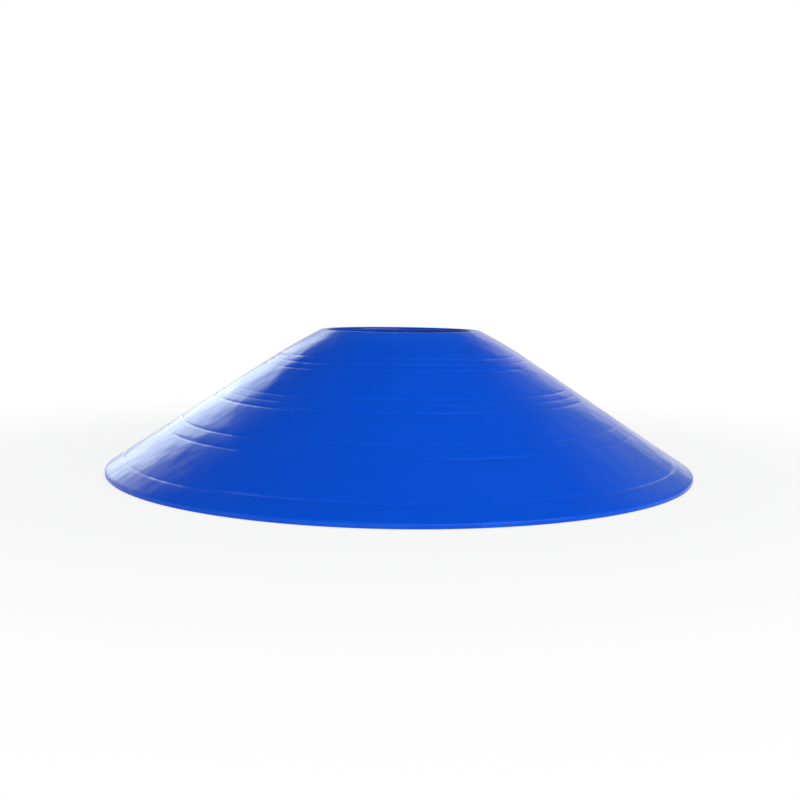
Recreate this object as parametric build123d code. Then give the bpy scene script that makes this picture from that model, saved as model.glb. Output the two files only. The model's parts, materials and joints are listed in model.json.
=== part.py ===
from build123d import *
from math import atan2, cos, hypot, radians, sin, tan
import os

# Sports marker disc: a low cone with an open top, moulded in one piece from soft polyethylene.
# Sizes are in millimetres. +Z is the cone's axis, and the origin is on the ground, in the middle of the rim.

# Overall sizes
rim_diameter = 190.0
hole_diameter = 50.0
height = 45.0
wall = 1.2  # measured square to the surface

# Rim: an upright edge over the flat foot that the disc stands on
rim_edge_height = 1.2
rim_edge_round = 0.6
foot_width = 2.0
foot_root_round = 0.4

# Crown: near the top the slope bows over, and runs on flatter up to the hole's rounded lip
crown_width = 11.0  # from the hole's wall to the corner where the slope would meet the crown
crown_angle = radians(28)
crown_straight = 1.2  # left straight between the bow and the bead
lip_round = 1.0

# Bead under the hole's edge, which the next disc of a stack rests on
bead_width = 2.0
bead_height = 0.8  # below the inside of the crown
bead_root_round = 0.2

# The foot's and the bead's lower corners
corner_round = 0.3

# Fine rings scored round the outside, in groups spread evenly between the rim and the crown
ring_width = 1.0
ring_depth = 0.15
triple_pitch = 3.0  # between the rings of a group of three, along the slope
pair_pitch = 5.4  # between the two rings of the pair
rim_ring_inset = 6.8  # from the rim's edge to the lowest ring, along the slope
crown_ring_inset = 7.1  # from the crown's corner to the middle of the highest group

# Shallow band on the inside, behind the pair of rings and as wide as the pair
band_depth = 0.12

# The crown would reach the hole's wall at the peak, if the lip were not rounded
rim_radius = rim_diameter / 2
hole_radius = hole_diameter / 2
peak = height + lip_round * (tan(crown_angle) + 1 / cos(crown_angle) - 1)

# The slope runs from the rim's edge up to the crown's corner, and its last stretch bows over
corner_radius = hole_radius + crown_width
corner_level = peak - crown_width * tan(crown_angle)
slope_run = rim_radius - corner_radius
slope_rise = corner_level - rim_edge_height
slope_length = hypot(slope_run, slope_rise)
slope_angle = atan2(slope_rise, slope_run)
bow_turn = slope_angle - crown_angle
bow_reach = (crown_width - bead_width) / cos(crown_angle) - crown_straight  # to each side of the corner
bow_radius = bow_reach / tan(bow_turn / 2)
bow_start = slope_length - bow_reach

# Ring groups from the rim up: how many rings each has, and the pitch between them
ring_groups = [(1, 0.0), (2, pair_pitch), (3, triple_pitch), (3, triple_pitch)]
pair_group = 1
group_step = (slope_length - crown_ring_inset - rim_ring_inset) / (len(ring_groups) - 1)


def slope_point(distance, above=0.0):
    """Point this far up the outside from the rim's edge, as radius and height, moved out from the surface."""
    straight = min(distance, bow_start)
    radius = rim_radius - straight * cos(slope_angle)
    level = rim_edge_height + straight * sin(slope_angle)
    angle = slope_angle - (distance - straight) / bow_radius
    radius += (bow_radius + above) * sin(angle) - bow_radius * sin(slope_angle)
    level += (bow_radius + above) * cos(angle) - bow_radius * cos(slope_angle)
    return radius, level


def inside_corner():
    """Corner of the wall's inside, behind the crown's corner."""
    depth = wall / cos(bow_turn / 2)
    angle = slope_angle - bow_turn / 2
    return corner_radius - depth * sin(angle), corner_level - depth * cos(angle)


def section():
    """Half section of the disc without its rings, with the radius across and the height up."""
    foot_radius = rim_radius - foot_width
    foot_root = rim_edge_height + foot_width * tan(slope_angle) - wall / cos(slope_angle)
    bead_radius = hole_radius + bead_width
    bead_root = peak - bead_width * tan(crown_angle) - wall / cos(crown_angle)
    bead_level = bead_root - bead_height
    corners = [
        (foot_radius, foot_root, foot_root_round),
        (foot_radius, 0.0, corner_round),
        (rim_radius, 0.0, corner_round),
        (rim_radius, rim_edge_height, rim_edge_round),
        (corner_radius, corner_level, bow_radius),
        (hole_radius, peak, lip_round),
        (hole_radius, bead_level, corner_round),
        (bead_radius, bead_level, corner_round),
        (bead_radius, bead_root, bead_root_round),
        (*inside_corner(), bow_radius - wall),
    ]
    points = [(radius, level) for radius, level, rounding in corners]
    face = make_face(Polyline(*points, close=True))
    for radius, level, rounding in corners:
        sharp = face.vertices().sort_by_distance((radius, level, 0.0))[0]
        face = fillet(sharp, rounding)
    return face


def group_middle(number):
    """Distance of a ring group's middle up the slope."""
    return rim_ring_inset + number * group_step


def ring_distances():
    """Distance of each ring up the slope."""
    distances = []
    for number, (count, pitch) in enumerate(ring_groups):
        for ring in range(count):
            distances.append(group_middle(number) + (ring - (count - 1) / 2) * pitch)
    return distances


def groove_radius(width, depth):
    """Radius of the circle that cuts a round-bottomed groove to this width and depth."""
    return (width**2 / 4 + depth**2) / (2 * depth)


def ring_groove(distance):
    """Section of one ring's groove, cut into the slope from the outside."""
    radius = groove_radius(ring_width, ring_depth)
    return Pos(*slope_point(distance, radius - ring_depth)) * Circle(radius)


def inside_band():
    """Section of the shallow band behind the pair of rings, cut into the wall from the inside."""
    radius = groove_radius(pair_pitch, band_depth)
    return Pos(*slope_point(group_middle(pair_group), band_depth - wall - radius)) * Circle(radius)


def marker_disc():
    """The whole moulding, turned about the cone's axis."""
    half = section() - inside_band()
    for distance in ring_distances():
        half -= ring_groove(distance)
    return revolve(Plane.XZ * half, axis=Axis.Z)


os.makedirs("parts", exist_ok=True)
export_step(marker_disc(), "parts/marker_disc.step")
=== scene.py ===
"""Sports marker disc, dressed for viewing: one moulded polyethylene disc on a pale floor in soft light.

The CAD frame gives the disc's place and its overall sizes. Geometry Nodes turn the moulding from its half
section, so that the fine rings fade in and out round it as they do on the real one. Lengths are in metres.
"""

import json
import math
from collections import namedtuple

import bmesh
import bpy
from bpy.props import FloatProperty, FloatVectorProperty, IntProperty, PointerProperty
from mathutils import Matrix, Vector


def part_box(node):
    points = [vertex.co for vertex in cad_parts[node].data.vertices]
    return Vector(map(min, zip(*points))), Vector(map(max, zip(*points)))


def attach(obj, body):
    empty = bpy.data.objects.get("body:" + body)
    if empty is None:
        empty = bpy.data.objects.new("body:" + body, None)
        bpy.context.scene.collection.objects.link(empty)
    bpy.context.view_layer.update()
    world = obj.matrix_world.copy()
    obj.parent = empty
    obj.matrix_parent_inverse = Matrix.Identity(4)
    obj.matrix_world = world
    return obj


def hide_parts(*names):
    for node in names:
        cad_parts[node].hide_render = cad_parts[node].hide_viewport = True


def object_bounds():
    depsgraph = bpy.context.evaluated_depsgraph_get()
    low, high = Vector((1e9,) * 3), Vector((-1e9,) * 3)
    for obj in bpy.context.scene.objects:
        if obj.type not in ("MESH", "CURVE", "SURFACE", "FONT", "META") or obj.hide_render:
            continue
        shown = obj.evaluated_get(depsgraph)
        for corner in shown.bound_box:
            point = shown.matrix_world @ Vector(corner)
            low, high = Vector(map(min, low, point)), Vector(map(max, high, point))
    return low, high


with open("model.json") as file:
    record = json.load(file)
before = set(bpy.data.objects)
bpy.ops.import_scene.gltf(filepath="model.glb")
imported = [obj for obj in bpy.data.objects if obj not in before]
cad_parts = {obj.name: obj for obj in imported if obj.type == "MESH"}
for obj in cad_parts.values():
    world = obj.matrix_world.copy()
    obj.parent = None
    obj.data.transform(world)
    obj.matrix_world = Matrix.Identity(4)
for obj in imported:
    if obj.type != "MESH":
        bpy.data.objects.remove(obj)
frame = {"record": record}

bl_info = {
    "name": "Marker disc",
    "version": (1, 0, 0),
    "blender": (4, 5, 0),
    "location": "View3D > Sidebar > Marker Disc",
    "description": "Makes a moulded sports marker disc and a plain studio to look at it in",
    "category": "Object",
}

NODE = "marker_disc"
BODY = "root"
MILLIMETRE = 0.001
WHITE = (1.0, 1.0, 1.0)

# What the CAD frame says about the disc
cad_low, cad_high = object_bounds()
disc_low, disc_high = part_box(NODE)
mounts = {mount["name"]: mount for mount in frame["record"]["mounts"]}
hole_radius_in_frame = mounts["centre_hole"]["dims"]["r_mm"] * MILLIMETRE


def length(name, description, default):
    """Property for a size in metres."""
    return FloatProperty(
        name=name, description=description, default=default, min=0.0, unit="LENGTH", precision=5
    )


def share(name, description, default):
    """Property for a number between nought and one."""
    return FloatProperty(
        name=name, description=description, default=default, min=0.0, max=1.0, subtype="FACTOR"
    )


def colour(name, description, default):
    """Property for a linear colour."""
    return FloatVectorProperty(
        name=name, description=description, default=default, size=3, min=0.0, max=1.0, subtype="COLOR"
    )


def angle(name, description, degrees):
    """Property for an angle."""
    return FloatProperty(name=name, description=description, default=math.radians(degrees), unit="ROTATION")


def radiance(name, description, default):
    """Property for how bright a light looks, where 1 is white."""
    return FloatProperty(name=name, description=description, default=default, min=0.0)


# Sizes and colours that a user would change


class DiscSizes(bpy.types.PropertyGroup):
    """Sizes of the moulding."""

    rim_diameter: length("Rim diameter", "Across the outside of the rim", round(disc_high.x - disc_low.x, 5))
    hole_diameter: length("Hole diameter", "Across the hole in the top", 2 * hole_radius_in_frame)
    height: length("Height", "From the ground to the top", round(disc_high.z - disc_low.z, 5))
    wall: length("Wall", "Thickness of the wall, square to the slope", 0.0012)
    rim_edge_height: length("Rim edge height", "Upright edge over the foot", 0.0012)
    rim_edge_round: length("Rim edge round", "Rounding at the top of the rim's edge", 0.0006)
    foot_width: length("Foot width", "Flat ring that the disc stands on", 0.002)
    foot_root_round: length("Foot root round", "Rounding between the foot and the inside", 0.0004)
    crown_width: length("Crown width", "From the hole's wall to the corner of slope and crown", 0.011)
    crown_angle: angle("Crown angle", "Slope of the crown", 28.0)
    crown_straight: length("Crown straight", "Left straight between the bow and the bead", 0.0012)
    lip_round: length("Lip round", "Rounding at the hole's upper edge", 0.001)
    bead_width: length("Bead width", "Bead under the hole's edge", 0.002)
    bead_height: length("Bead height", "Bead under the hole, below the inside of the crown", 0.0008)
    bead_root_round: length("Bead root round", "Rounding between the bead and the inside", 0.0002)
    corner_round: length("Corner round", "Rounding of the foot's and the bead's lower corners", 0.0003)
    ring_width: length("Ring width", "Width of one fine ring", 0.0018)
    ring_depth: length("Ring depth", "Depth of one fine ring where it is deepest", 0.00018)
    triple_pitch: length("Triple pitch", "Between the rings of a group of three", 0.003)
    pair_pitch: length("Pair pitch", "Between the two rings of the pair", 0.0054)
    rim_ring_inset: length("Rim ring inset", "From the rim's edge to the lowest ring", 0.0068)
    crown_ring_inset: length("Crown ring inset", "From the crown's corner to the highest group", 0.0071)
    band_depth: length("Band depth", "Depth of the shallow band on the inside", 0.00012)
    waviness: length("Waviness", "How far the soft wall strays from a true cone", 0.00018)
    ring_fade: share("Ring fade", "How far the rings fade out where they are faintest", 0.85)
    segments: IntProperty(name="Segments", description="Faces round the disc", default=384, min=24)
    seed: IntProperty(name="Seed", description="Where the rings fade and the wall strays", default=57, min=0)


class PlasticFinish(bpy.types.PropertyGroup):
    """Colours and gloss of the polyethylene."""

    blue: colour("Blue", "Colour of the plastic", (0.001, 0.078, 0.66))
    # Deep blue is painted shade, on the hole's wall and in the inside band
    deep_blue: colour("Deep blue", "Hole's wall, and a little in the inside band", (0.0006, 0.042, 0.38))
    # Pale blue is painted light on the crown and the rim's edge, and in the rings both scuffed plastic and
    # painted light
    pale_blue: colour("Pale blue", "A little of it in rubbed or stretched places", (0.015, 0.15, 0.74))
    roughness: share("Roughness", "Roughness of the smooth surface", 0.2)


class StudioLook(bpy.types.PropertyGroup):
    """Floor, light and camera."""

    floor_colour: colour("Floor", "Colour of the floor", (0.9, 0.9, 0.9))
    sweep: radiance("Sweep", "Brightness of the white sweep round the floor", 1.0)
    ceiling: radiance("Ceiling", "Brightness overhead", 0.035)
    gap: radiance("Gap", "Brightness of the gap in the sweep behind the disc on the right", 0.33)
    gap_ceiling: radiance("Gap ceiling", "Brightness overhead above the gap", 0.05)
    gap_tint: colour("Gap tint", "Colour of the gap in the sweep", (0.75, 1.0, 1.0))
    front_light: radiance("Front light", "Brightness of the large softbox over the camera", 3.32)
    left_light: radiance("Left light", "Brightness of the softbox on the left", 0.5)
    back_light: radiance("Back light", "Brightness of the softbox behind the disc on the left", 1.5)
    back_tint: colour("Back tint", "Colour of the softbox behind the disc", (0.8, 1.0, 1.0))
    lens: FloatProperty(name="Lens", description="Focal length", default=45.1, min=1.0, unit="CAMERA")
    camera_distance: length("Camera distance", "From the disc's axis to the camera", 0.333)
    camera_height: length("Camera height", "Above the ground", 0.0567)
    aim_height: length("Aim height", "Height on the axis that the camera points at", 0.0215)
    camera_roll: angle("Camera roll", "Turn of the picture", 0.76)


# Joining nodes up

MIX_INPUTS = (0, 6, 7)  # a Mix node's factor and its two colours, among the inputs for other kinds of value
MIX_RESULT = 2  # its colour, among the results of other kinds


class Wiring:
    """Adds nodes to a tree and joins them up."""

    def __init__(self, tree):
        self.tree = tree

    def add(self, kind, **settings):
        """New node with its settings."""
        node = self.tree.nodes.new(kind)
        for name, value in settings.items():
            setattr(node, name, value)
        return node

    def feed(self, socket, value):
        """Joins another node's socket to this one, or sets this one's number."""
        if isinstance(value, bpy.types.NodeSocket):
            self.tree.links.new(value, socket)
        else:
            socket.default_value = value

    def feed_all(self, node, values):
        """Feeds a node's inputs by name."""
        for name, value in values.items():
            self.feed(node.inputs[name], value)

    def math(self, operation, *values):
        """Result of one sum."""
        node = self.add("ShaderNodeMath", operation=operation)
        for socket, value in zip(node.inputs, values):
            self.feed(socket, value)
        return node.outputs[0]

    def vectors(self, operation, *values):
        """Result of one vector sum."""
        node = self.add("ShaderNodeVectorMath", operation=operation)
        for socket, value in zip(node.inputs, values):
            self.feed(socket, value)
        return node.outputs["Value" if operation in ("LENGTH", "DOT_PRODUCT") else "Vector"]

    def scaled(self, vector, factor):
        """Vector times a number."""
        node = self.add("ShaderNodeVectorMath", operation="SCALE")
        self.feed(node.inputs[0], vector)
        self.feed(node.inputs["Scale"], factor)
        return node.outputs["Vector"]

    def vector(self, x, y, z):
        """Vector from three numbers."""
        node = self.add("ShaderNodeCombineXYZ")
        for socket, value in zip(node.inputs, (x, y, z)):
            self.feed(socket, value)
        return node.outputs[0]

    def parts(self, vector):
        """X, Y and Z of a vector."""
        node = self.add("ShaderNodeSeparateXYZ")
        self.feed(node.inputs[0], vector)
        return tuple(node.outputs)

    def from_axis(self, place):
        """Distance of a place from the disc's axis."""
        return self.vectors("LENGTH", self.vectors("MULTIPLY", place, (1.0, 1.0, 0.0)))

    def ramp(self, value, start, end, at_start=0.0, at_end=1.0):
        """Smooth change from one number to another as a value goes from start to end."""
        node = self.add("ShaderNodeMapRange", interpolation_type="SMOOTHSTEP")
        for socket, number in zip(node.inputs, (value, start, end, at_start, at_end)):
            self.feed(socket, number)
        return node.outputs[0]

    def noise(self, vector, scale, detail):
        """Smooth random pattern between nought and one."""
        node = self.add("ShaderNodeTexNoise", noise_dimensions="3D")
        self.feed_all(node, {"Vector": vector, "Scale": scale, "Detail": detail})
        return node.outputs[0]

    def mixed(self, factor, first, second):
        """Blend of two colours."""
        node = self.add("ShaderNodeMix", data_type="RGBA")
        for number, value in zip(MIX_INPUTS, (factor, first, second)):
            self.feed(node.inputs[number], value)
        return node.outputs[MIX_RESULT]

    def blended(self, factor, first, second):
        """Blend of two shaders."""
        node = self.add("ShaderNodeMixShader")
        for socket, value in zip(node.inputs, (factor, first, second)):
            self.feed(socket, value)
        return node.outputs[0]


def opaque(rgb):
    """Colour for a node's socket."""
    return (*rgb, 1.0)


# Half section of the moulding

SectionPoint = namedtuple("SectionPoint", "place outward up_slope ring ring_share band_share wave_share")

ARC_STEP = math.radians(9)  # between the points of a rounded corner
SPAN = 0.0035  # longest run between points on the slope
SUPPORT = 0.00015  # from a rounded corner to the next point, so that its shading stays in the corner
GROOVE_STEPS = 8  # points across a ring or the band
WAVE_FADE = 0.014  # distance over which the waviness dies away towards the rim and the hole


class Slope:
    """The outside from the rim's edge up: a straight slope, a bow, and a flatter crown up to the hole."""

    def __init__(self, sizes):
        crown = sizes.crown_angle
        self.crown_angle = crown
        self.start = Vector((sizes.rim_diameter / 2, sizes.rim_edge_height))
        lost_to_lip = sizes.lip_round * (math.tan(crown) + 1 / math.cos(crown) - 1)
        self.peak = Vector((sizes.hole_diameter / 2, sizes.height + lost_to_lip))
        self.corner = self.peak + sizes.crown_width * Vector((1.0, -math.tan(crown)))
        way = self.corner - self.start
        self.length = way.length
        self.angle = math.atan2(way.y, -way.x)
        self.turn = self.angle - crown
        reach = (sizes.crown_width - sizes.bead_width) / math.cos(crown) - sizes.crown_straight
        self.bow_radius = reach / math.tan(self.turn / 2)
        self.bow_start = self.length - reach
        self.bow_end = self.bow_start + self.bow_radius * self.turn
        self.whole_length = self.bow_end + (self.peak - self.corner).length - reach

    def steepness(self, distance):
        """Angle of the outside at a distance up it."""
        return self.angle - min(max(distance - self.bow_start, 0.0) / self.bow_radius, self.turn)

    def outward(self, distance):
        """Way out of the surface at a distance up the outside."""
        steepness = self.steepness(distance)
        return Vector((math.sin(steepness), math.cos(steepness)))

    def along(self, distance):
        """Way up the outside at a distance."""
        steepness = self.steepness(distance)
        return Vector((-math.cos(steepness), math.sin(steepness)))

    def point(self, distance, above=0.0):
        """Place this far up the outside and this far out from it, as radius and level."""
        bow_centre = self.start + self.along(0.0) * self.bow_start - self.outward(0.0) * self.bow_radius
        past_bow = max(distance - self.bow_end, 0.0)
        if distance < self.bow_start:
            place = self.start + self.along(0.0) * distance
        else:
            place = bow_centre + self.outward(distance) * self.bow_radius + self.along(distance) * past_bow
        return place + self.outward(distance) * above

    def distance_on_slope(self, place):
        """Distance up the outside of a place on the straight slope, or behind it."""
        return (place - self.start).dot(self.along(0.0))

    def distance_on_crown(self, place):
        """Distance up the outside of a place on the crown, or behind it."""
        return self.bow_end + (place - self.point(self.bow_end)).dot(self.along(self.bow_end))

    def inside_corner(self, wall):
        """Corner of the wall's inside, behind the crown's corner."""
        halfway = self.angle - self.turn / 2
        return self.corner - Vector((math.sin(halfway), math.cos(halfway))) * wall / math.cos(self.turn / 2)


def ring_groups(sizes):
    """How many rings each group has, and the pitch between them, from the rim up."""
    return [(1, 0.0), (2, sizes.pair_pitch), (3, sizes.triple_pitch), (3, sizes.triple_pitch)]


def group_middle(sizes, slope, number):
    """Distance of a ring group's middle up the slope, with the groups evenly apart."""
    gaps = len(ring_groups(sizes)) - 1
    reach = slope.length - sizes.crown_ring_inset - sizes.rim_ring_inset
    return sizes.rim_ring_inset + number * reach / gaps


def ring_distances(sizes, slope):
    """Distance of each ring up the slope."""
    distances = []
    for number, (count, pitch) in enumerate(ring_groups(sizes)):
        for ring in range(count):
            distances.append(group_middle(sizes, slope, number) + (ring - (count - 1) / 2) * pitch)
    return distances


def groove_share(offset, width):
    """Share of a groove's depth at an offset from its middle: full there, and nought at its soft edges."""
    if abs(offset) >= width / 2:
        return 0.0
    return math.cos(math.pi * offset / width) ** 2


def stations(start, end, grooves):
    """Distances between two ends, without them: close across each groove, and further apart elsewhere."""
    marks = {start, start + SUPPORT, end - SUPPORT, end}
    for middle, width in grooves:
        for step in range(GROOVE_STEPS + 1):
            marks.add(middle + width * (step / GROOVE_STEPS - 0.5))
    marks = sorted(mark for mark in marks if start <= mark <= end)
    filled = []
    for mark, following in zip(marks, marks[1:]):
        pieces = max(1, math.ceil((following - mark) / SPAN))
        filled.extend(mark + (following - mark) * piece / pieces for piece in range(pieces))
    return filled[1:]


def wave_share(slope, distance):
    """Share of the waviness at a distance up the outside: none at the rim and at the hole."""
    from_end = min(distance, slope.whole_length - distance)
    reach = min(1.0, max(0.0, from_end / WAVE_FADE))
    return reach * reach * (3 - 2 * reach)


def outer_slope_points(sizes, slope, start, end):
    """Points up the outside, with the rings."""
    rings = ring_distances(sizes, slope)
    points = []
    for distance in stations(start, end, [(ring, sizes.ring_width) for ring in rings]):
        number = min(range(len(rings)), key=lambda ring: abs(rings[ring] - distance))
        points.append(
            SectionPoint(
                place=slope.point(distance),
                outward=slope.outward(distance),
                up_slope=distance,
                ring=float(number),
                ring_share=groove_share(distance - rings[number], sizes.ring_width),
                band_share=0.0,
                wave_share=wave_share(slope, distance),
            )
        )
    return points


def inner_slope_points(sizes, slope, start, end):
    """Points down the inside, with the shallow band behind the pair of rings."""
    pair_group = 1
    middle = group_middle(sizes, slope, pair_group)
    points = []
    for distance in reversed(stations(start, end, [(middle, sizes.pair_pitch)])):
        points.append(
            SectionPoint(
                place=slope.point(distance, -sizes.wall),
                outward=-slope.outward(distance),
                up_slope=distance,
                ring=0.0,
                ring_share=0.0,
                band_share=groove_share(distance - middle, sizes.pair_pitch),
                wave_share=-wave_share(slope, distance),
            )
        )
    return points


def corner_points(before, corner, after, rounding):
    """Points round one rounded corner of the section, which is gone round with the plastic on the left."""
    way_in = (corner - before).normalized()
    way_out = (after - corner).normalized()
    turn = math.atan2(way_in.cross(way_out), way_in.dot(way_out))
    start = corner - way_in * rounding * math.tan(abs(turn) / 2)
    first_outward = Vector((way_in.y, -way_in.x))
    bulge = math.copysign(rounding, turn)
    centre = start - first_outward * bulge
    steps = max(2, math.ceil(abs(turn) / ARC_STEP))
    points = []
    for step in range(steps + 1):
        outward = Matrix.Rotation(turn * step / steps, 2) @ first_outward
        points.append(
            SectionPoint(
                place=centre + outward * bulge,
                outward=outward,
                up_slope=0.0,
                ring=0.0,
                ring_share=0.0,
                band_share=0.0,
                wave_share=0.0,
            )
        )
    return points


def half_section(sizes):
    """Closed half section of the moulding, from the rim up the outside, over the top and down the inside."""
    slope = Slope(sizes)
    hole_radius = slope.peak.x
    rim_radius = slope.start.x
    foot_radius = rim_radius - sizes.foot_width
    foot_root = slope.start.y + sizes.foot_width * math.tan(slope.angle)
    foot_root -= sizes.wall / math.cos(slope.angle)
    bead_radius = hole_radius + sizes.bead_width
    bead_root = slope.peak.y - sizes.bead_width * math.tan(slope.crown_angle)
    bead_root -= sizes.wall / math.cos(slope.crown_angle)
    bead_level = bead_root - sizes.bead_height
    corners = [
        (Vector((rim_radius, 0.0)), sizes.corner_round),
        (slope.start, sizes.rim_edge_round),
        (slope.corner, slope.bow_radius),
        (slope.peak, sizes.lip_round),
        (Vector((hole_radius, bead_level)), sizes.corner_round),
        (Vector((bead_radius, bead_level)), sizes.corner_round),
        (Vector((bead_radius, bead_root)), sizes.bead_root_round),
        (slope.inside_corner(sizes.wall), slope.bow_radius - sizes.wall),
        (Vector((foot_radius, foot_root)), sizes.foot_root_round),
        (Vector((foot_radius, 0.0)), sizes.corner_round),
    ]
    outer_bow = 2
    inner_bow = 7
    rounded = []
    for number, (place, rounding) in enumerate(corners):
        before = corners[number - 1][0]
        after = corners[(number + 1) % len(corners)][0]
        rounded.append(corner_points(before, place, after, rounding))

    # The two bows are part of the slope's own points
    points = []
    for number, arc in enumerate(rounded):
        if number in (outer_bow, inner_bow):
            last = rounded[number - 1][-1].place
            following = rounded[number + 1][0].place
        if number == outer_bow:
            reach = slope.distance_on_slope(last), slope.distance_on_crown(following)
            points.extend(outer_slope_points(sizes, slope, *reach))
        elif number == inner_bow:
            reach = slope.distance_on_slope(following), slope.distance_on_crown(last)
            points.extend(inner_slope_points(sizes, slope, *reach))
        else:
            points.extend(arc)
    return points


def section_mesh(points):
    """The half section as a mesh of points, with what the turning needs to know about each."""
    mesh = bpy.data.meshes.new("marker_disc_section")
    mesh.from_pydata([(point.place.x, 0.0, point.place.y) for point in points], [], [])
    outward = mesh.attributes.new("outward", "FLOAT_VECTOR", "POINT")
    outward.data.foreach_set("vector", [n for p in points for n in (p.outward.x, 0.0, p.outward.y)])
    for name in ("up_slope", "ring", "ring_share", "band_share", "wave_share"):
        attribute = mesh.attributes.new(name, "FLOAT", "POINT")
        attribute.data.foreach_set("value", [getattr(point, name) for point in points])
    return mesh


# Turning the section into the moulding

RING_PATCHES = 1.7  # how often a ring fades in and out round the disc
RING_DETAIL = 3.0  # how unevenly it does so
RING_GAP = 2.3  # keeps one ring's fading apart from the next one's
RING_FAINT = 0.38  # noise at which a ring is faintest
RING_FULL = 0.62  # noise at which it is deepest
WAVE_PATCHES = 0.9  # how often the wall strays in and out round the disc
WAVE_DETAIL = 2.0  # how unevenly it does so
WAVE_ALONG = 14.0  # how fast that changes up the slope
NOISE_MIDDLE = 0.5
HALF_STEP = 0.5  # keeps a row's number clear of rounding
MERGE_DISTANCE = 0.000001


def turning_tree():
    """Geometry Nodes that turn a half section about the disc's axis."""
    tree = bpy.data.node_groups.new("Marker disc turning", "GeometryNodeTree")
    tree.is_modifier = True
    inputs = [
        ("Half Section", "NodeSocketGeometry"),
        ("Segments", "NodeSocketInt"),
        ("Ring Depth", "NodeSocketFloat"),
        ("Ring Fade", "NodeSocketFloat"),
        ("Band Depth", "NodeSocketFloat"),
        ("Waviness", "NodeSocketFloat"),
        ("Seed", "NodeSocketInt"),
        ("Plastic", "NodeSocketMaterial"),
    ]
    for name, kind in inputs:
        tree.interface.new_socket(name, in_out="INPUT", socket_type=kind)
    tree.interface.new_socket("Moulding", in_out="OUTPUT", socket_type="NodeSocketGeometry")

    wires = Wiring(tree)
    given = wires.add("NodeGroupInput").outputs
    section = given["Half Section"]

    # A grid with a row for each point of the section and a column for each segment, both seams doubled
    size = wires.add("GeometryNodeAttributeDomainSize", component="MESH")
    wires.feed(size.inputs["Geometry"], section)
    point_count = size.outputs["Point Count"]
    columns = wires.math("ADD", given["Segments"], 1)
    grid = wires.add("GeometryNodeMeshGrid")
    wires.feed(grid.inputs["Vertices X"], wires.math("ADD", point_count, 1))
    wires.feed(grid.inputs["Vertices Y"], columns)
    index = wires.add("GeometryNodeInputIndex").outputs[0]
    column = wires.math("MODULO", index, columns)
    row = wires.math("FLOOR", wires.math("DIVIDE", wires.math("ADD", index, HALF_STEP), columns))
    section_index = wires.math("MODULO", row, point_count)
    turn = wires.math("MULTIPLY", wires.math("DIVIDE", column, given["Segments"]), math.tau)
    across = wires.math("COSINE", turn)
    back = wires.math("SINE", turn)

    def from_section(value, data_type="FLOAT"):
        """Value that the section has at this row of the grid."""
        sample = wires.add("GeometryNodeSampleIndex", data_type=data_type, domain="POINT")
        wires.feed(sample.inputs["Geometry"], section)
        wires.feed(sample.inputs["Value"], value)
        wires.feed(sample.inputs["Index"], section_index)
        return sample.outputs[0]

    def stored(name, data_type="FLOAT"):
        """Value that the section stores under this name, at this row of the grid."""
        attribute = wires.add("GeometryNodeInputNamedAttribute", data_type=data_type)
        wires.feed(attribute.inputs["Name"], name)
        return from_section(attribute.outputs["Attribute"], data_type)

    def turned(vector):
        """Vector of the section, turned to this column of the grid."""
        radius, unused, level = wires.parts(vector)
        x = wires.math("MULTIPLY", radius, across)
        y = wires.math("MULTIPLY", radius, back)
        return wires.vector(x, y, level)

    place = turned(from_section(wires.add("GeometryNodeInputPosition").outputs[0], "FLOAT_VECTOR"))
    outward = turned(stored("outward", "FLOAT_VECTOR"))

    # Each ring fades in and out by itself
    ring_height = wires.math("ADD", wires.math("MULTIPLY", stored("ring"), RING_GAP), given["Seed"])
    ring_noise = wires.noise(wires.vector(across, back, ring_height), RING_PATCHES, RING_DETAIL)
    faintest = wires.math("SUBTRACT", 1.0, given["Ring Fade"])
    ring_strength = wires.ramp(ring_noise, RING_FAINT, RING_FULL, faintest, 1.0)
    ring_mark = wires.math("MULTIPLY", stored("ring_share"), ring_strength)
    ring_cut = wires.math("MULTIPLY", ring_mark, given["Ring Depth"])
    band_mark = stored("band_share")
    band_cut = wires.math("MULTIPLY", band_mark, given["Band Depth"])

    # The soft wall strays a little from a true cone
    wave_height = wires.math("ADD", wires.math("MULTIPLY", stored("up_slope"), WAVE_ALONG), given["Seed"])
    wave_noise = wires.noise(wires.vector(across, back, wave_height), WAVE_PATCHES, WAVE_DETAIL)
    wave = wires.math("MULTIPLY", wires.math("SUBTRACT", wave_noise, NOISE_MIDDLE), given["Waviness"])
    wave = wires.math("MULTIPLY", wave, stored("wave_share"))

    shift = wires.math("SUBTRACT", wave, wires.math("ADD", ring_cut, band_cut))
    moved = wires.add("GeometryNodeSetPosition")
    wires.feed(moved.inputs["Geometry"], grid.outputs["Mesh"])
    wires.feed(moved.inputs["Position"], wires.vectors("ADD", place, wires.scaled(outward, shift)))
    geometry = moved.outputs[0]

    # The plastic's colour follows the rings and the band: scuffing and painted light in the rings, painted
    # shade in the band
    for name, value in (("ring_mark", ring_mark), ("band_mark", band_mark)):
        store = wires.add("GeometryNodeStoreNamedAttribute", data_type="FLOAT", domain="POINT")
        wires.feed_all(store, {"Geometry": geometry, "Name": name, "Value": value})
        geometry = store.outputs[0]

    merged = wires.add("GeometryNodeMergeByDistance")
    wires.feed_all(merged, {"Geometry": geometry, "Distance": MERGE_DISTANCE})
    smooth = wires.add("GeometryNodeSetShadeSmooth")
    wires.feed_all(smooth, {"Geometry": merged.outputs[0], "Shade Smooth": True})
    realized = wires.add("GeometryNodeRealizeInstances")
    wires.feed(realized.inputs["Geometry"], smooth.outputs[0])
    painted = wires.add("GeometryNodeSetMaterial")
    wires.feed_all(painted, {"Geometry": realized.outputs[0], "Material": given["Plastic"]})
    result = wires.add("NodeGroupOutput")
    wires.feed(result.inputs["Moulding"], painted.outputs[0])
    return tree


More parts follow.
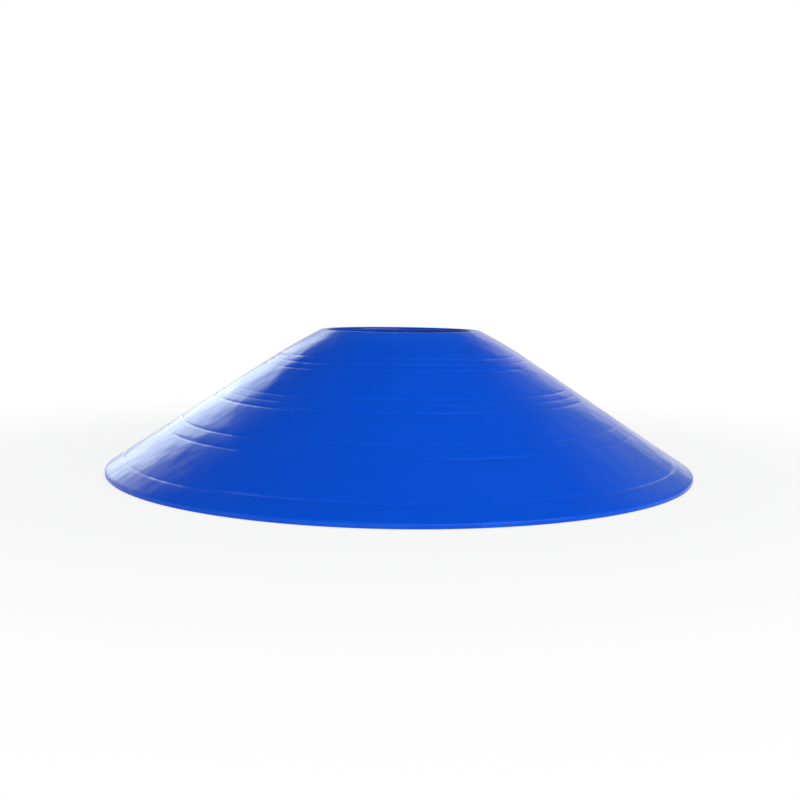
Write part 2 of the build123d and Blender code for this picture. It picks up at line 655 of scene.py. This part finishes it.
def turned_moulding(sizes, plastic):
    """The moulding as a plain mesh object at the origin."""
    source = bpy.data.objects.new("marker_disc_section", section_mesh(half_section(sizes)))
    bpy.context.scene.collection.objects.link(source)
    tree = turning_tree()
    modifier = source.modifiers.new("Turning", "NODES")
    modifier.node_group = tree
    values = {
        "Segments": sizes.segments,
        "Ring Depth": sizes.ring_depth,
        "Ring Fade": sizes.ring_fade,
        "Band Depth": sizes.band_depth,
        "Waviness": sizes.waviness,
        "Seed": sizes.seed,
        "Plastic": plastic,
    }
    for item in tree.interface.items_tree:
        if item.in_out == "INPUT" and item.name in values:
            modifier[item.identifier] = values[item.name]
    graph = bpy.context.evaluated_depsgraph_get()
    mesh = bpy.data.meshes.new_from_object(source.evaluated_get(graph), depsgraph=graph)
    mesh.name = "marker_disc_moulding"
    source.modifiers.remove(modifier)
    bpy.data.objects.remove(source)
    if not mesh.polygons:
        raise RuntimeError("the turning made no faces")
    moulding = bpy.data.objects.new("marker_disc_moulding", mesh)
    bpy.context.scene.collection.objects.link(moulding)
    return moulding


# Plastic

RING_SCUFF_AND_LIGHT = 0.06  # share of pale blue in a ring where it is deepest: scuffed plastic, and painted light along the ring lines
BAND_PAINTED_SHADE = 0.25  # share of deep blue in the inside band, painted shade in its shallow recess
CROWN_PAINTED_LIGHT = 0.25  # share of pale blue on the crown by the lip, painted light
WALL_PAINTED_SHADE = 0.9  # share of deep blue on the hole's wall, painted shade
WALL_SHADE_END = (0.0002, 0.0005)  # which ends on the rounded lip, this far out from the hole
RIM_PAINTED_LIGHT = (0.05, 0.3)  # share of pale blue, painted light along the rim's edge, where it is least and most
RIM_LIGHT_END = (0.0001, 0.0009)  # which dies away this far in from the rim
RIM_LIGHT_PATCHES = 55.0  # how often it changes in a metre
RIM_LIGHT_DETAIL = 3.0
RIM_LIGHT_NOISE = (0.35, 0.65)  # noise at which it is least and most
SHEEN_SWING = 0.045  # how far the roughness goes up and down
SHEEN_PATCHES = 70.0  # how often it does so in a metre
SHEEN_DETAIL = 2.0
SHEEN_NOISE = (0.3, 0.7)  # noise at which it is lowest and highest
DIMPLE_DEPTH = 0.00026
DIMPLE_PATCHES = 120.0  # how often the surface dimples in a metre
DIMPLE_DETAIL = 1.0
FULL_GLOSS = 0.5  # specular level of plain plastic
RIM_GLOSS = 0.12
LIP_GLOSS = 0.3
DULL_END = (0.0004, 0.0012)  # the dullness ends this far in from the rim, or out from the hole
POLYETHYLENE_IOR = 1.5


def polyethylene(finish, sizes):
    """Satin blue polyethylene: uneven sheen, painted light on crown and rim, painted shade on hole wall and
    band, dull rim.
    """
    material = bpy.data.materials.new("blue_polyethylene_satin")
    material.use_nodes = True
    material.node_tree.nodes.clear()
    wires = Wiring(material.node_tree)
    place = wires.add("ShaderNodeTexCoord").outputs["Object"]
    radius = wires.from_axis(place)
    from_hole = wires.math("SUBTRACT", radius, sizes.hole_diameter / 2)
    from_rim = wires.math("SUBTRACT", sizes.rim_diameter / 2, radius)
    blue = opaque(finish.blue)
    deep_blue = opaque(finish.deep_blue)
    pale_blue = opaque(finish.pale_blue)

    def marked(name, amount):
        """Amount times the value that the moulding stores under this name."""
        node = wires.add("ShaderNodeAttribute", attribute_type="GEOMETRY", attribute_name=name)
        return wires.math("MULTIPLY", node.outputs["Fac"], amount)

    # Paler in the rings, for scuffed plastic and painted light along the ring lines; deeper in the inside
    # band, painted shade in its shallow recess
    tone = wires.mixed(marked("ring_mark", RING_SCUFF_AND_LIGHT), blue, pale_blue)
    tone = wires.mixed(marked("band_mark", BAND_PAINTED_SHADE), tone, deep_blue)

    # Painted light makes the crown a little paler towards the hole, and painted shade makes the hole's wall
    # deeper up to its rounded lip
    crown_light = wires.ramp(from_hole, sizes.lip_round, sizes.crown_width, CROWN_PAINTED_LIGHT, 0.0)
    tone = wires.mixed(crown_light, tone, pale_blue)
    wall_shade = wires.ramp(from_hole, *WALL_SHADE_END, WALL_PAINTED_SHADE, 0.0)
    tone = wires.mixed(wall_shade, tone, deep_blue)

    # Painted light on the rim's edge, paler in some places than in others
    at_rim = wires.ramp(from_rim, *RIM_LIGHT_END, 1.0, 0.0)
    rim_light_noise = wires.noise(place, RIM_LIGHT_PATCHES, RIM_LIGHT_DETAIL)
    painted_rim_light = wires.math("MULTIPLY", at_rim, wires.ramp(rim_light_noise, *RIM_LIGHT_NOISE, *RIM_PAINTED_LIGHT))
    tone = wires.mixed(painted_rim_light, tone, pale_blue)

    # Uneven sheen
    sheen_noise = wires.noise(place, SHEEN_PATCHES, SHEEN_DETAIL)
    sheen = wires.ramp(sheen_noise, *SHEEN_NOISE, -SHEEN_SWING, SHEEN_SWING)
    roughness = wires.math("ADD", sheen, finish.roughness)

    # Slow dimpling
    dimples = wires.noise(place, DIMPLE_PATCHES, DIMPLE_DETAIL)
    bump = wires.add("ShaderNodeBump")
    wires.feed_all(bump, {"Height": dimples, "Strength": 1.0, "Distance": DIMPLE_DEPTH})

    # The rubbed rim and the hole's lip are dull
    rim_gloss = wires.ramp(from_rim, *DULL_END, RIM_GLOSS, FULL_GLOSS)
    lip_gloss = wires.ramp(from_hole, *DULL_END, LIP_GLOSS, FULL_GLOSS)
    gloss = wires.math("MINIMUM", rim_gloss, lip_gloss)

    surface = {
        "Base Color": tone,
        "Roughness": roughness,
        "Normal": bump.outputs[0],
        "IOR": POLYETHYLENE_IOR,
        "Specular IOR Level": gloss,
    }
    shader = wires.add("ShaderNodeBsdfPrincipled")
    wires.feed_all(shader, surface)
    result = wires.add("ShaderNodeOutputMaterial")
    wires.feed(result.inputs["Surface"], shader.outputs[0])
    return material


# Floor

FLOOR_RADIUS = 3.0
FLOOR_SEGMENTS = 96
FLOOR_DROP = 0.0001  # keeps the floor just under the disc's foot
FLOOR_LIT = 0.10  # the floor shows most of its light and shadow up to here
FLOOR_WHITE = 0.25  # and is white from here on
FLOOR_VEIL = 0.8  # share of white that already lies over the light and shadow near the disc
FOOT_COVER = 0.002  # that white ends under the foot, over this distance in from the rim


def floor_material(look):
    """Pale floor that keeps the disc's shadow, is white further out, and can be seen through from below."""
    material = bpy.data.materials.new("pale_floor")
    material.use_nodes = True
    material.node_tree.nodes.clear()
    wires = Wiring(material.node_tree)
    distance = wires.from_axis(wires.add("ShaderNodeTexCoord").outputs["Object"])
    path = wires.add("ShaderNodeLightPath").outputs
    seen = wires.math("MAXIMUM", path["Is Camera Ray"], path["Is Glossy Ray"])
    seen = wires.math("MAXIMUM", seen, path["Is Transmission Ray"])
    matte = wires.add("ShaderNodeBsdfDiffuse")
    wires.feed(matte.inputs["Color"], opaque(look.floor_colour))
    white = wires.add("ShaderNodeEmission")
    wires.feed_all(white, {"Color": opaque(WHITE), "Strength": 1.0})
    veil = wires.ramp(distance, FLOOR_LIT, FLOOR_WHITE, FLOOR_VEIL, 1.0)
    veil = wires.math("MULTIPLY", veil, wires.ramp(distance, disc_high.x - FOOT_COVER, disc_high.x))
    far = wires.math("MULTIPLY", veil, seen)
    above = wires.blended(far, matte.outputs[0], white.outputs[0])

    # Light and sight come in from below
    clear = wires.add("ShaderNodeBsdfTransparent")
    backfacing = wires.add("ShaderNodeNewGeometry").outputs["Backfacing"]
    came_through = wires.math("MINIMUM", path["Transparent Depth"], 1.0)
    below = wires.math("MAXIMUM", backfacing, came_through)
    result = wires.add("ShaderNodeOutputMaterial")
    wires.feed(result.inputs["Surface"], wires.blended(below, above, clear.outputs[0]))
    return material


def make_floor(look):
    """Round floor under the disc."""
    mesh = bpy.data.meshes.new("floor")
    shape = bmesh.new()
    bmesh.ops.create_circle(shape, cap_ends=True, segments=FLOOR_SEGMENTS, radius=FLOOR_RADIUS)
    bmesh.ops.translate(shape, verts=shape.verts, vec=(0.0, 0.0, -FLOOR_DROP))
    shape.to_mesh(mesh)
    shape.free()
    mesh.materials.append(floor_material(look))
    floor = bpy.data.objects.new("floor", mesh)
    bpy.context.scene.collection.objects.link(floor)


# Light and camera, with angles in degrees

SWEEP_TOP = (19.0, 37.0)  # heights between which the sweep goes over into the ceiling
GAP_AZIMUTH = 36.0  # middle of the gap, from +X towards +Y
GAP_SIDES = (32.0, 24.0)  # the gap comes in between these angles to each side of its middle
GAP_FOOT = (3.0, 8.0)  # and between these heights
GAP_TOP = (24.0, 52.0)  # heights between which it goes over into its own ceiling

Softbox = namedtuple("Softbox", "name azimuth elevation width height")

FRONT_SOFTBOX = Softbox("front_softbox", azimuth=305.0, elevation=38.0, width=1.1, height=0.7)
LEFT_SOFTBOX = Softbox("left_softbox", azimuth=206.0, elevation=42.0, width=0.8, height=0.6)
BACK_SOFTBOX = Softbox("back_softbox", azimuth=118.5, elevation=16.0, width=0.36, height=0.5)
SOFTBOX_DISTANCE = 1.0

CAMERA_CLIP = 0.01  # nearest that the camera sees


def direction(azimuth, elevation):
    """Unit vector from the disc, with azimuth from +X towards +Y."""
    level = math.cos(math.radians(elevation))
    return Vector(
        (
            level * math.cos(math.radians(azimuth)),
            level * math.sin(math.radians(azimuth)),
            math.sin(math.radians(elevation)),
        )
    )


def sines(elevations):
    """Heights on a unit sphere of these elevations."""
    return [math.sin(math.radians(elevation)) for elevation in elevations]


def make_world(look):
    """White sweep all round, under a dim ceiling, with a dimmer gap behind the disc on the right."""
    world = bpy.data.worlds.new("studio")
    bpy.context.scene.world = world
    world.use_nodes = True
    world.node_tree.nodes.clear()
    wires = Wiring(world.node_tree)
    way = wires.vectors("NORMALIZE", wires.add("ShaderNodeTexCoord").outputs["Generated"])
    x, y, height = wires.parts(way)
    sweep = wires.ramp(height, *sines(SWEEP_TOP), look.sweep, look.ceiling)

    level_way = wires.vectors("NORMALIZE", wires.vector(x, y, 0.0))
    towards_gap = wires.vectors("DOT_PRODUCT", level_way, direction(GAP_AZIMUTH, 0.0))
    sides = [math.cos(math.radians(side)) for side in GAP_SIDES]
    gap = wires.ramp(towards_gap, *sides)
    gap = wires.math("MULTIPLY", gap, wires.ramp(height, *sines(GAP_FOOT)))
    gap_level = wires.ramp(height, *sines(GAP_TOP), look.gap, look.gap_ceiling)

    level = wires.math("ADD", sweep, wires.math("MULTIPLY", gap, wires.math("SUBTRACT", gap_level, sweep)))
    tint = wires.mixed(gap, opaque(WHITE), opaque(look.gap_tint))
    background = wires.add("ShaderNodeBackground")
    wires.feed_all(background, {"Strength": level, "Color": tint})
    result = wires.add("ShaderNodeOutputWorld")
    wires.feed(result.inputs["Surface"], background.outputs[0])


def make_softbox(box, brightness, tint=WHITE):
    """Softbox that points at the disc, with its power worked out from how bright it looks."""
    light = bpy.data.lights.new(box.name, "AREA")
    light.shape = "RECTANGLE"
    light.size = box.width
    light.size_y = box.height
    light.energy = brightness * math.pi * box.width * box.height
    light.color = tint
    lamp = bpy.data.objects.new(box.name, light)
    way = direction(box.azimuth, box.elevation)
    middle = (cad_low + cad_high) / 2
    lamp.location = middle + way * SOFTBOX_DISTANCE
    lamp.rotation_euler = way.to_track_quat("Z", "Y").to_euler()
    lamp.visible_camera = False
    bpy.context.scene.collection.objects.link(lamp)


def make_camera(look):
    """Camera where the side picture was taken from."""
    camera = bpy.data.cameras.new("camera")
    camera.lens = look.lens
    camera.clip_start = CAMERA_CLIP
    holder = bpy.data.objects.new("camera", camera)
    place = Vector((0.0, -look.camera_distance, look.camera_height))
    sight = Vector((0.0, 0.0, look.aim_height)) - place
    turn = sight.to_track_quat("-Z", "Y").to_matrix().to_4x4()
    roll = Matrix.Rotation(look.camera_roll, 4, "Z")
    holder.matrix_world = Matrix.Translation(place) @ turn @ roll
    bpy.context.scene.collection.objects.link(holder)
    bpy.context.scene.camera = holder


# Operators, panel and registration


class MARKER_DISC_OT_moulding(bpy.types.Operator):
    """Makes the moulding in place of the plain CAD disc"""

    bl_idname = "marker_disc.moulding"
    bl_label = "Make the moulding"

    def execute(self, context):
        sizes = context.scene.marker_disc_sizes
        plastic = polyethylene(context.scene.marker_disc_finish, sizes)
        moulding = turned_moulding(sizes, plastic)
        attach(moulding, BODY)
        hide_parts(NODE)
        return {"FINISHED"}


class MARKER_DISC_OT_studio(bpy.types.Operator):
    """Makes the floor, the light and the camera"""

    bl_idname = "marker_disc.studio"
    bl_label = "Make the studio"

    def execute(self, context):
        look = context.scene.marker_disc_look
        context.scene.view_settings.view_transform = "Standard"
        make_floor(look)
        make_world(look)
        make_softbox(FRONT_SOFTBOX, look.front_light)
        make_softbox(LEFT_SOFTBOX, look.left_light)
        make_softbox(BACK_SOFTBOX, look.back_light, look.back_tint)
        make_camera(look)
        return {"FINISHED"}


class MARKER_DISC_PT_sidebar(bpy.types.Panel):
    """Sizes, colours and buttons"""

    bl_idname = "MARKER_DISC_PT_sidebar"
    bl_label = "Marker disc"
    bl_space_type = "VIEW_3D"
    bl_region_type = "UI"
    bl_category = "Marker Disc"

    def draw(self, context):
        for group in GROUPS:
            settings = getattr(context.scene, group)
            for name in settings.bl_rna.properties.keys():
                if name not in ("rna_type", "name"):
                    self.layout.prop(settings, name)
        self.layout.operator(MARKER_DISC_OT_moulding.bl_idname)
        self.layout.operator(MARKER_DISC_OT_studio.bl_idname)


GROUPS = {
    "marker_disc_sizes": DiscSizes,
    "marker_disc_finish": PlasticFinish,
    "marker_disc_look": StudioLook,
}
CLASSES = (*GROUPS.values(), MARKER_DISC_OT_moulding, MARKER_DISC_OT_studio, MARKER_DISC_PT_sidebar)


def register():
    """Adds the classes and the scene's settings."""
    for item in CLASSES:
        bpy.utils.register_class(item)
    for name, group in GROUPS.items():
        setattr(bpy.types.Scene, name, PointerProperty(type=group))


def unregister():
    """Takes them away again."""
    for name in GROUPS:
        delattr(bpy.types.Scene, name)
    for item in reversed(CLASSES):
        bpy.utils.unregister_class(item)


def main():
    register()
    bpy.ops.marker_disc.moulding()
    bpy.ops.marker_disc.studio()


if __name__ == "__main__":
    main()
